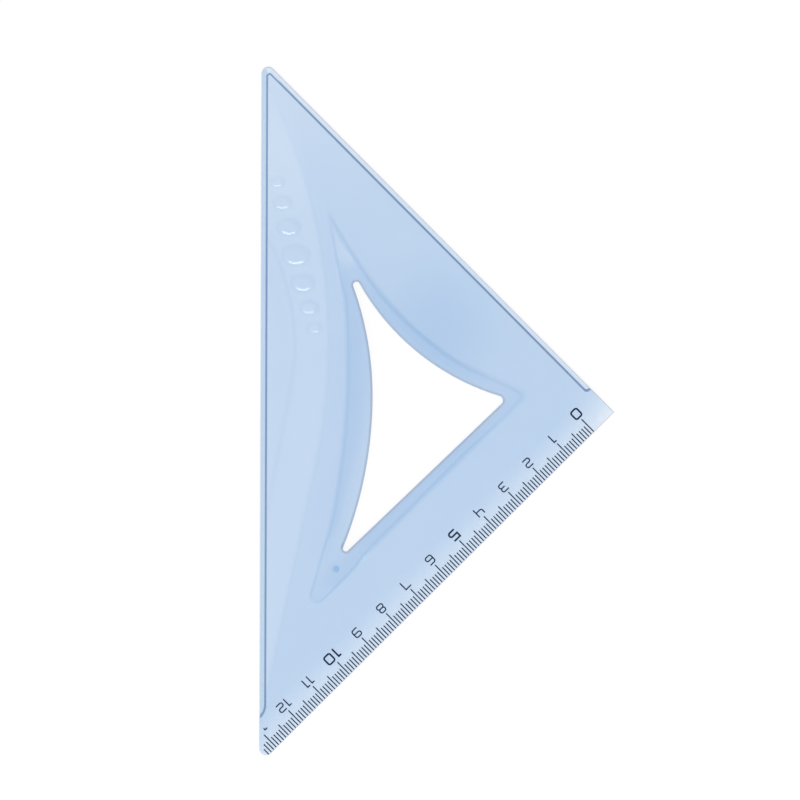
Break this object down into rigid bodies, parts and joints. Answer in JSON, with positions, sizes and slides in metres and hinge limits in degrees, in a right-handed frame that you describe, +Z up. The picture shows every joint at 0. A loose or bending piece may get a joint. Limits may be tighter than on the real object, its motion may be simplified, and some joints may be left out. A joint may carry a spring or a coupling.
{
  "type": "geometry triangle",
  "caption": "Thin flexible translucent blue set square with a right angle, a finger cut-out in a raised rim, a grip band with oval nubs and a printed centimetre scale.",
  "frame": {"origin": "middle of the bounding box, on the flat underside that lies on the table", "axes": "+Z up out of the printed face, +Y along the long side, +X from the long side to the right angle"},
  "size_m": [0.1028, 0.2, 0.0026],
  "materials": {
    "clear_blue_plastic": "translucent pale blue flexible plastic with a soft sheen",
    "navy_ink": "dark navy printing ink"
  },
  "bodies": {
    "root": {"triangle_plate": "clear_blue_plastic", "millimetre_lines": "navy_ink", "half_centimetre_lines": "navy_ink", "centimetre_lines": "navy_ink", "numeral_0": "navy_ink", "numeral_1": "navy_ink", "numeral_2": "navy_ink", "numeral_3": "navy_ink", "numeral_4": "navy_ink", "numeral_5": "navy_ink", "numeral_6": "navy_ink", "numeral_7": "navy_ink", "numeral_8": "navy_ink", "numeral_9": "navy_ink", "numeral_10_tens": "navy_ink", "numeral_10_units": "navy_ink", "numeral_11_tens": "navy_ink", "numeral_11_units": "navy_ink", "numeral_12_tens": "navy_ink", "numeral_12_units": "navy_ink", "cut_off_numeral": "navy_ink"}
  },
  "joints": []
}
